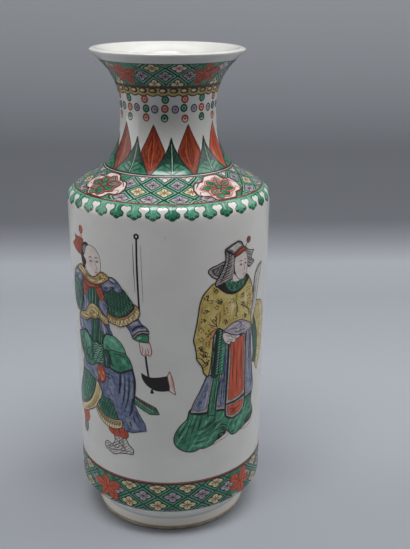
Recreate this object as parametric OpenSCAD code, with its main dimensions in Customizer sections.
// Rouleau vase in glazed porcelain: a tall, nearly straight body on a recessed
// foot, a sloping shoulder, a waisted neck and a trumpet mouth with a rounded lip.
// It is built as it is made: five thrown sections, luted end to end with slip,
// under an outer, an inner and a base coat of glaze.
// Millimetres, +Z up, origin at the centre of the standing edge.

/* [Foot] */
// Radius of the foot wall, over the glaze
foot_r = 43; // [40:0.5:47]
// Height of the straight foot wall
foot_h = 8; // [6:0.5:10]
// Width of the clay foot ring
foot_ring_w = 5; // [3.5:0.25:8]
// Chamfer on both edges of the standing face
foot_edge = 0.8; // [0.3:0.1:1.4]
// Height of bare clay below the glaze line
bare_foot_h = 2.2; // [1.6:0.1:4]
// Depth of the glazed recess inside the foot ring
recess_h = 6; // [4:0.5:8]

/* [Body] */
// Height of the curve from the foot out to the body
bevel_h = 12; // [10:0.5:16]
// Body radius at the bottom, over the glaze
body_low_r = 51.65; // [49:0.05:56]
// Height of the lower thrown cylinder
lower_body_h = 78; // [50:1:110]
// How much wider the body is at its middle seam than at the bottom, in radius
middle_swell = 0.85; // [0:0.05:3]
// Height of the upper thrown cylinder
upper_body_h = 82; // [50:1:110]
// How much wider the body is below the shoulder than at its middle seam, in radius
top_swell = 1.6; // [0:0.05:4]

/* [Shoulder] */
// Rise of the rounded shoulder edge
edge_h = 8.6; // [7:0.1:12]
// How far the shoulder edge comes in from the top of the body
edge_in = 2.3; // [1:0.1:4]
// Change of radius per height at the shoulder edge
edge_slope = -0.95; // [-1.2:0.05:-0.6]
// Rise of the upper half of the shoulder
slope_h = 5.1; // [4:0.1:8]
// How far the steepest part of the shoulder lies in from the shoulder edge
slope_in = 7.65; // [5:0.05:10]
// Change of radius per height at the steepest part of the shoulder
steepest_slope = -1.85; // [-2.2:0.05:-1.4]
// Rise of the hollow curve from the shoulder to the neck
root_h = 9.3; // [7:0.1:13]
// How much wider the neck is at its root than at its waist, in radius
root_out = 6.4; // [4:0.1:9]
// Change of radius per height at the root of the neck
root_slope = -0.72; // [-1:0.02:-0.5]

/* [Neck and mouth] */
// Height from the root of the neck to its waist
neck_h = 25.5; // [18:0.5:35]
// Radius of the neck's waist, over the glaze
waist_r = 25.1; // [22:0.1:28]
// Height from the waist to the outermost edge of the lip
flare_h = 30.7; // [24:0.1:40]
// Radius of the mouth at the outside of the lip
mouth_r = 39.8; // [37:0.1:44]
// Lean of the mouth from the vertical, in degrees
flare_angle = 52; // [40:1:58]
// How far the top of the lip stands above its outermost edge
lip_rise = 0.9; // [0.8:0.1:2]

/* [Wall] */
// Thickness of the clay wall
wall = 3.4; // [2.6:0.1:5]
// Thickness of the clay floor
floor_t = 6; // [4:0.25:8]
// Thickness of each coat of glaze
glaze = 0.4; // [0.2:0.05:0.6]
// Thickness of the slip in each luted seam
slip_t = 0.5; // [0.3:0.1:1]

/* [Hidden] */
$fn = 128;

clay_colour = "#E9E2D3";
slip_colour = "#DDD3C0";
glaze_colour = "#E4E5E1";
same_level = 0.001;
lip_under_steps = 6;
lip_over_steps = 10;
lip_inner_steps = 4;

// Depths below the finished outer surface
clay_top = glaze;
clay_back = glaze + wall;
full_wall = 2 * glaze + wall;

// The lip is as thick as the whole wall, round below its outermost edge and flatter above it
lip_r = full_wall / 2;
lip_end = 180 - flare_angle;
lip_angles = concat(
    [for (k = [0:lip_under_steps - 1]) -flare_angle * (1 - k / lip_under_steps)],
    [for (k = [0:lip_over_steps]) 90 * k / lip_over_steps],
    [for (k = [1:lip_inner_steps]) 90 + (lip_end - 90) * k / lip_inner_steps]);
flare_slope = tan(flare_angle);

// Radii of the shape's own stations, each from the one it follows
body_mid_r = body_low_r + middle_swell;
body_top_r = body_mid_r + top_swell;
edge_r = body_top_r - edge_in;
slope_r = edge_r - slope_in;
root_r = waist_r + root_out;

// Heights of the seams and of those stations
body_z = foot_h + bevel_h;
middle_z = body_z + lower_body_h;
top_z = middle_z + upper_body_h;
edge_z = top_z + edge_h;
slope_z = edge_z + slope_h;
root_z = slope_z + root_h;
waist_z = root_z + neck_h;
lip_z = waist_z + flare_h;
lip_centre = [mouth_r - lip_r, lip_z];
flare_end = lip_centre + lip_r * [cos(flare_angle), -sin(flare_angle)];
body_slope = (body_top_r - body_low_r) / (top_z - body_z);

// Heights of the floor
ceiling_z = recess_h + glaze;
floor_z = ceiling_z + floor_t;
ring_in_r = foot_r - glaze - foot_ring_w;

// Stations of the finished outline: height, radius, slope, bands from the one below
stations = [
    [0, foot_r, 0, 0],
    [foot_h, foot_r, 0, 1],
    [body_z, body_low_r, body_slope, 16],
    [middle_z, body_mid_r, body_slope, 6],
    [top_z, body_top_r, 0, 8],
    [edge_z, edge_r, edge_slope, 14],
    [slope_z, slope_r, steepest_slope, 8],
    [root_z, root_r, root_slope, 12],
    [waist_z, waist_r, 0, 16],
    [flare_end.y, flare_end.x, flare_slope, 20],
];
seams = [body_z, middle_z, top_z, root_z];

// The station interval that holds a height
function interval(z, i = 0) =
    i >= len(stations) - 2 || z <= stations[i + 1][0] ? i : interval(z, i + 1);

// Finished radius at a height, as a smooth curve through the stations
function outline_r(z) =
    let (a = stations[interval(z)], b = stations[interval(z) + 1], h = b[0] - a[0], u = (z - a[0]) / h)
    (1 + 2 * u) * pow(1 - u, 2) * a[1] + u * pow(1 - u, 2) * h * a[2]
    + u * u * (3 - 2 * u) * b[1] - u * u * (1 - u) * h * b[2];

// Change of that radius per height
function outline_slope(z) =
    let (a = stations[interval(z)], b = stations[interval(z) + 1], h = b[0] - a[0], u = (z - a[0]) / h)
    6 * u * (1 - u) * (b[1] - a[1]) / h + (1 - u) * (1 - 3 * u) * a[2] + u * (3 * u - 2) * b[2];

// Point at a height that lies a depth below the finished surface
function wall_point(z, depth) = [outline_r(z) - depth * sqrt(1 + pow(outline_slope(z), 2)), z];

function sorted(v) =
    len(v) < 2 ? v :
    let (pivot = v[floor(len(v) / 2)])
    concat(sorted([for (x = v) if (x < pivot) x]), [for (x = v) if (x == pivot) x],
           sorted([for (x = v) if (x > pivot) x]));
function distinct(v) = [for (i = [0:len(v) - 1]) if (i == 0 || v[i] - v[i - 1] > same_level) v[i]];
function reversed(v) = [for (i = [len(v) - 1:-1:0]) v[i]];

// Every height at which a profile has a point, shared by the clay and the glaze
band_levels = [for (i = [1:len(stations) - 1]) for (k = [1:stations[i][3]])
    stations[i - 1][0] + (stations[i][0] - stations[i - 1][0]) * k / stations[i][3]];
seam_levels = [for (z = seams) for (side = [-1, 1]) z + side * slip_t / 2];
levels = distinct(sorted(concat(band_levels, seam_levels, [bare_foot_h, floor_z, floor_z + glaze])));

// One side of the wall between two heights, from the lower up
function side(z0, z1, depth) =
    [for (z = levels) if (z > z0 - same_level && z < z1 + same_level) wall_point(z, depth)];

// Point of the lip at a depth below its surface, and at an angle up from its outermost edge
function lip_point(depth, angle) =
    lip_centre + [(lip_r - depth) * cos(angle), ((angle > 0 ? lip_rise : lip_r) - depth) * sin(angle)];

// The lip at a depth, from the outside over the top to the inside
function lip_arc(depth) = [for (angle = lip_angles) lip_point(depth, angle)];

// A thrown section of the clay wall between two heights
module thrown_ring(z0, z1)
    rotate_extrude() polygon(concat(side(z0, z1, clay_top), reversed(side(z0, z1, clay_back))));

// Floor, foot ring and the curve out to the body, turned from one thick slab
module base_and_foot() {
    standing_edge = [
        [0, ceiling_z], [ring_in_r, ceiling_z], [ring_in_r, foot_edge], [ring_in_r + foot_edge, 0],
        [foot_r - glaze - foot_edge, 0], [foot_r - glaze, foot_edge],
    ];
    top = body_z - slip_t / 2;
    color(clay_colour) rotate_extrude() polygon(concat(
        standing_edge, side(bare_foot_h, top, clay_top),
        reversed(side(floor_z, top, clay_back)), [[0, floor_z]]));
}

module lower_body() color(clay_colour) thrown_ring(body_z + slip_t / 2, middle_z - slip_t / 2);

module upper_body() color(clay_colour) thrown_ring(middle_z + slip_t / 2, top_z - slip_t / 2);

module shoulder() color(clay_colour) thrown_ring(top_z + slip_t / 2, root_z - slip_t / 2);

// Neck and trumpet mouth, thrown in one piece with a rounded lip
module neck_and_mouth() {
    bottom = root_z + slip_t / 2;
    color(clay_colour) rotate_extrude() polygon(concat(
        side(bottom, flare_end.y, clay_top), lip_arc(clay_top),
        reversed(side(bottom, flare_end.y, clay_back))));
}

// The ring of slip in a seam between two thrown sections
module slip_ring(seam_z) color(slip_colour) thrown_ring(seam_z - slip_t / 2, seam_z + slip_t / 2);

module foot_slip() slip_ring(body_z);

module middle_slip() slip_ring(middle_z);

module shoulder_slip() slip_ring(top_z);

module neck_slip() slip_ring(root_z);

// Coat over the whole outside, from above the standing edge to the inside of the lip
module outer_glaze()
    color(glaze_colour) rotate_extrude() polygon(concat(
        side(bare_foot_h, flare_end.y, 0), lip_arc(0),
        reversed(lip_arc(clay_top)), reversed(side(bare_foot_h, flare_end.y, clay_top))));

// Coat over the floor and the inside of the wall, up to the lip
module inner_glaze()
    color(glaze_colour) rotate_extrude() polygon(concat(
        [[0, floor_z]], side(floor_z, flare_end.y, clay_back),
        [lip_point(clay_top, lip_end), lip_point(0, lip_end)],
        reversed(side(floor_z + glaze, flare_end.y, full_wall)), [[0, floor_z + glaze]]));

// Coat in the recess under the floor and down the inside of the foot ring
module base_glaze()
    color(glaze_colour) rotate_extrude() polygon([
        [0, recess_h], [ring_in_r - glaze, recess_h], [ring_in_r - glaze, bare_foot_h],
        [ring_in_r, bare_foot_h], [ring_in_r, ceiling_z], [0, ceiling_z]]);

base_and_foot();
lower_body();
upper_body();
shoulder();
neck_and_mouth();
foot_slip();
middle_slip();
shoulder_slip();
neck_slip();
outer_glaze();
inner_glaze();
base_glaze();
